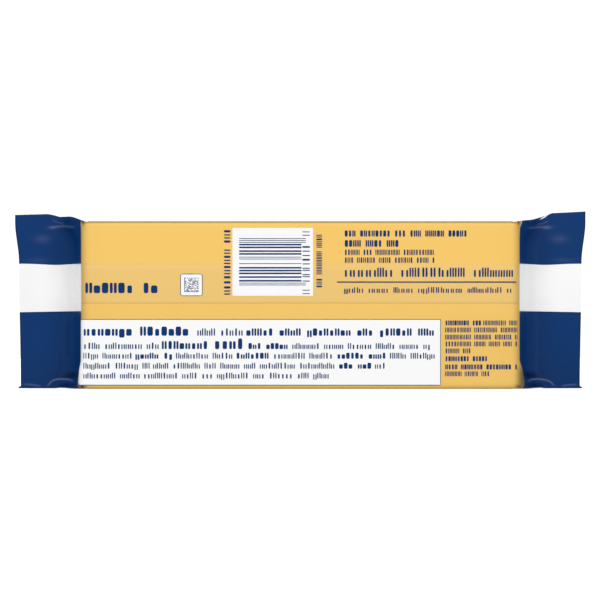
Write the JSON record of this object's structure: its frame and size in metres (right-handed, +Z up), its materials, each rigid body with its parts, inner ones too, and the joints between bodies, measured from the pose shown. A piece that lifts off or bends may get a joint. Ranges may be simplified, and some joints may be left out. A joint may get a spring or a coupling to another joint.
{
  "type": "wrapped cheese block",
  "caption": "Block of cheese sealed in opaque printed film: a long rounded bar with a lap seam on one face, tucked narrow sides and a flat pressed fin at each end.",
  "frame": {"origin": "middle of the long narrow side that the block stands on", "axes": "+X along the block, +Y through its depth away from the face with the lap seam, +Z up across its height"},
  "size_m": [0.172, 0.0312, 0.0534],
  "materials": {
    "film_yellow": "semi-gloss printed film over a firm block, yellow face",
    "ink_navy": "semi-gloss navy print",
    "ink_white": "semi-gloss white print"
  },
  "bodies": {
    "root": {"wrapped_block": "film_yellow"}
  },
  "joints": []
}
